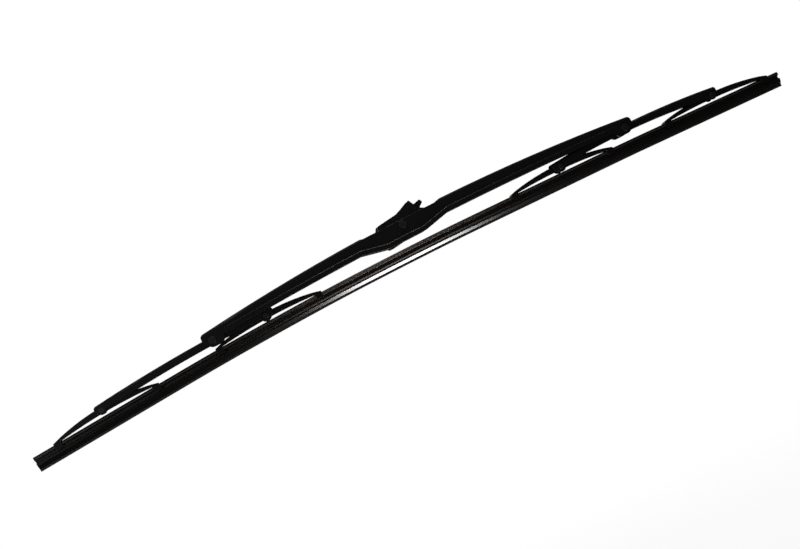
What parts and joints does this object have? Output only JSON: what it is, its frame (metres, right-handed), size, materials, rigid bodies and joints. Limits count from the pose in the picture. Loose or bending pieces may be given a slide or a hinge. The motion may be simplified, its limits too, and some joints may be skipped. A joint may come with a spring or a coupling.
{
  "type": "wiper blade",
  "caption": "Conventional bracket wiper blade: arched steel bridge, pivoted yokes and claws holding a bowed rubber squeegee, with a turning hook adapter",
  "frame": {"origin": "centre of the cross pin that the arm's hook adapter turns on, on the middle plane of the blade", "axes": "+X along the blade, +Y across it, +Z away from the glass, with the rubber lip towards -Z"},
  "size_m": [0.6011, 0.0162, 0.0503],
  "materials": {
    "bridge_paint": "satin black paint on pressed steel",
    "yoke_paint": "satin black paint on pressed steel",
    "claw_paint": "satin black paint on pressed steel",
    "rivet_steel": "blackened steel rivet",
    "rail_steel": "dark spring steel strip",
    "adapter_plastic": "moulded black plastic",
    "liner_plastic": "moulded black nylon",
    "rubber": "black rubber with a graphite sheen"
  },
  "bodies": {
    "frame": {"main_bridge": "bridge_paint", "adapter_pin": "rivet_steel", "left_bridge_rivet": "rivet_steel", "right_bridge_rivet": "rivet_steel", "squeegee": "rubber", "front_rail": "rail_steel", "back_rail": "rail_steel"},
    "adapter": {"hook_adapter": "adapter_plastic"},
    "left_secondary_yoke": {"left_secondary": "yoke_paint", "left_bridge_liner": "liner_plastic", "left_outer_claw_rivet": "rivet_steel", "left_inner_claw_rivet": "rivet_steel"},
    "left_outer_claw_yoke": {"left_outer_claw": "claw_paint", "left_outer_claw_liner": "liner_plastic"},
    "left_inner_claw_yoke": {"left_inner_claw": "claw_paint", "left_inner_claw_liner": "liner_plastic"},
    "right_secondary_yoke": {"right_secondary": "yoke_paint", "right_bridge_liner": "liner_plastic", "right_outer_claw_rivet": "rivet_steel", "right_inner_claw_rivet": "rivet_steel"},
    "right_outer_claw_yoke": {"right_outer_claw": "claw_paint", "right_outer_claw_liner": "liner_plastic"},
    "right_inner_claw_yoke": {"right_inner_claw": "claw_paint", "right_inner_claw_liner": "liner_plastic"}
  },
  "joints": [
    {"name": "adapter_turn", "type": "hinge", "parent": "frame", "child": "adapter", "pos_m": [0, 0, 0], "axis": [0, 1, 0], "range_deg": [-8, 25]},
    {"name": "left_secondary_rock", "type": "hinge", "parent": "frame", "child": "left_secondary_yoke", "pos_m": [-0.1548, 0, -0.0114], "axis": [0, 1, 0], "range_deg": [-6, 6], "stiffness_Nm_per_rad": 1.5, "deforming": ["squeegee", "front_rail", "back_rail"]},
    {"name": "left_outer_claw_rock", "type": "hinge", "parent": "left_secondary_yoke", "child": "left_outer_claw_yoke", "pos_m": [-0.24215, 0, -0.01906], "axis": [0, 1, 0], "range_deg": [-6, 6], "stiffness_Nm_per_rad": 0.6, "deforming": ["squeegee", "front_rail", "back_rail"]},
    {"name": "left_inner_claw_rock", "type": "hinge", "parent": "left_secondary_yoke", "child": "left_inner_claw_yoke", "pos_m": [-0.11431, 0, -0.01309], "axis": [0, 1, 0], "range_deg": [-6, 6], "stiffness_Nm_per_rad": 0.6, "deforming": ["squeegee", "front_rail", "back_rail"]},
    {"name": "right_secondary_rock", "type": "hinge", "parent": "frame", "child": "right_secondary_yoke", "pos_m": [0.1782, 0, -0.0114], "axis": [0, 1, 0], "range_deg": [-6, 6], "stiffness_Nm_per_rad": 1.5, "deforming": ["squeegee", "front_rail", "back_rail"]},
    {"name": "right_outer_claw_rock", "type": "hinge", "parent": "right_secondary_yoke", "child": "right_outer_claw_yoke", "pos_m": [0.24995, 0, -0.01948], "axis": [0, 1, 0], "range_deg": [-6, 6], "stiffness_Nm_per_rad": 0.6, "deforming": ["squeegee", "front_rail", "back_rail"]},
    {"name": "right_inner_claw_rock", "type": "hinge", "parent": "right_secondary_yoke", "child": "right_inner_claw_yoke", "pos_m": [0.12228, 0, -0.01478], "axis": [0, 1, 0], "range_deg": [-6, 6], "stiffness_Nm_per_rad": 0.6, "deforming": ["squeegee", "front_rail", "back_rail"]}
  ]
}
